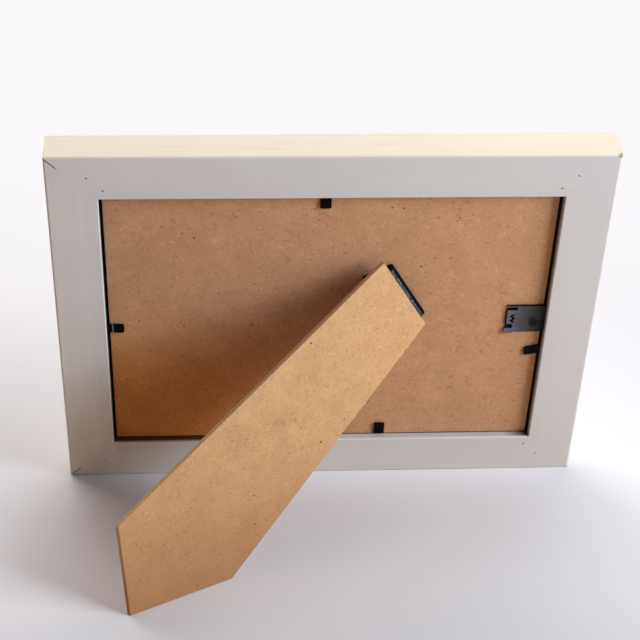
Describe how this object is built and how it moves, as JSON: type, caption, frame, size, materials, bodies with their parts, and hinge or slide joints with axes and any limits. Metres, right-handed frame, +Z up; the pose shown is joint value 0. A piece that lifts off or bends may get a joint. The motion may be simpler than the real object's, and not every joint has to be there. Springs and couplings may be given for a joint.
{
  "type": "easel back photo frame",
  "caption": "Mitred wood photo frame standing on a hinged fibreboard strut, with glass, a backing board held by bending tabs and a sawtooth hanger on one side.",
  "frame": {"origin": "on the table, under the middle of the part's box", "axes": "+Z up; +X along the width, to the right as seen from the front; the front faces -Y and the strut stands behind, towards +Y"},
  "size_m": [0.222, 0.121, 0.1697],
  "materials": {
    "moulding_wood": "pale wood, plain lacquer outside, smooth light grey coat on the back",
    "fibreboard": "raw brown fibreboard, smooth face with fine dark flecks",
    "clear_glass": "clear float glass",
    "photo_paper": "satin photo paper, blank",
    "black_steel": "black oxide, low sheen",
    "hanger_steel": "dark grey, low sheen",
    "nail_steel": "bare spring steel"
  },
  "bodies": {
    "frame": {"top_rail": "moulding_wood", "bottom_rail": "moulding_wood", "left_stile": "moulding_wood", "right_stile": "moulding_wood", "corner_nails_top_left": "nail_steel", "corner_nails_top_right": "nail_steel", "corner_nails_bottom_left": "nail_steel", "corner_nails_bottom_right": "nail_steel", "tab_shank_top": "black_steel", "tab_shank_bottom": "black_steel", "tab_shank_left": "black_steel", "tab_shank_right": "black_steel", "hanger_shank": "hanger_steel", "board_leaf": "black_steel", "glass_pane": "clear_glass", "photo_insert": "photo_paper", "backing_board": "fibreboard", "hinge_pin": "black_steel"},
    "strut": {"strut_leg": "fibreboard", "strut_leaf": "black_steel"},
    "top_tab": {"tab_top": "black_steel"},
    "bottom_tab": {"tab_bottom": "black_steel"},
    "left_tab": {"tab_left": "black_steel"},
    "right_tab": {"tab_right": "black_steel"},
    "hanger": {"hanger_plate": "hanger_steel"}
  },
  "joints": [
    {"name": "strut_hinge", "type": "hinge", "parent": "frame", "child": "strut", "pos_m": [-0.03106, -0.02096, 0.10001], "axis": [-0.503, -0.2237, -0.8348], "range_deg": [0, 36.5]},
    {"name": "top_tab_bend", "type": "hinge", "parent": "frame", "child": "top_tab", "pos_m": [0.0027, -0.01006, 0.14726], "axis": [1, 0, 0], "range_deg": [0, 80]},
    {"name": "bottom_tab_bend", "type": "hinge", "parent": "frame", "child": "bottom_tab", "pos_m": [-0.0248, -0.04407, 0.02034], "axis": [-1, 0, 0], "range_deg": [0, 80]},
    {"name": "left_tab_bend", "type": "hinge", "parent": "frame", "child": "left_tab", "pos_m": [-0.0907, -0.03141, 0.06757], "axis": [0, 0.2588, 0.9659], "range_deg": [0, 80]},
    {"name": "right_tab_bend", "type": "hinge", "parent": "frame", "child": "right_tab", "pos_m": [0.0907, -0.02771, 0.08138], "axis": [0, -0.2588, -0.9659], "range_deg": [0, 80]},
    {"name": "hanger_bend", "type": "hinge", "parent": "frame", "child": "hanger", "pos_m": [-0.09055, -0.02643, 0.08425], "axis": [0, 0.2588, 0.9659], "range_deg": [0, 80]}
  ]
}
